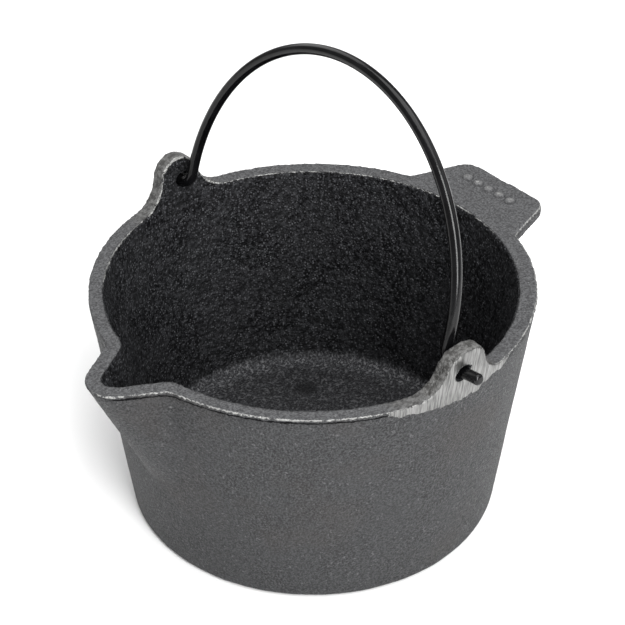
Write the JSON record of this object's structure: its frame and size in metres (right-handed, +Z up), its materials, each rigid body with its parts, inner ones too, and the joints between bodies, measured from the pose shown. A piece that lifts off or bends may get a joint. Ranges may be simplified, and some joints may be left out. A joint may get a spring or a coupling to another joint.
{
  "type": "candle melting pot",
  "caption": "Small round tapered cast-iron melting pot with a V-shaped pouring spout, a flat grip tab opposite and a swinging wire bail handle.",
  "frame": {"origin": "centre of the flat underside of the pot", "axes": "+Z up; -X towards the pouring spout, +X towards the grip tab; the bail turns about an axis along Y"},
  "size_m": [0.1411, 0.1264, 0.1232],
  "materials": {
    "cast_iron": "bare sand-cast grey iron, fine grain outside, rough and nearly black inside, ground bright on the near ear",
    "black_wire": "smooth gloss black enamel"
  },
  "bodies": {
    "pot": {"pot_casting": "cast_iron"},
    "bail": {"bail_handle": "black_wire"}
  },
  "joints": [
    {"name": "bail_pivot", "type": "hinge", "parent": "pot", "child": "bail", "pos_m": [-0.0013, 0, 0.0686], "axis": [0, 1, 0], "range_deg": [-109, 77]}
  ]
}
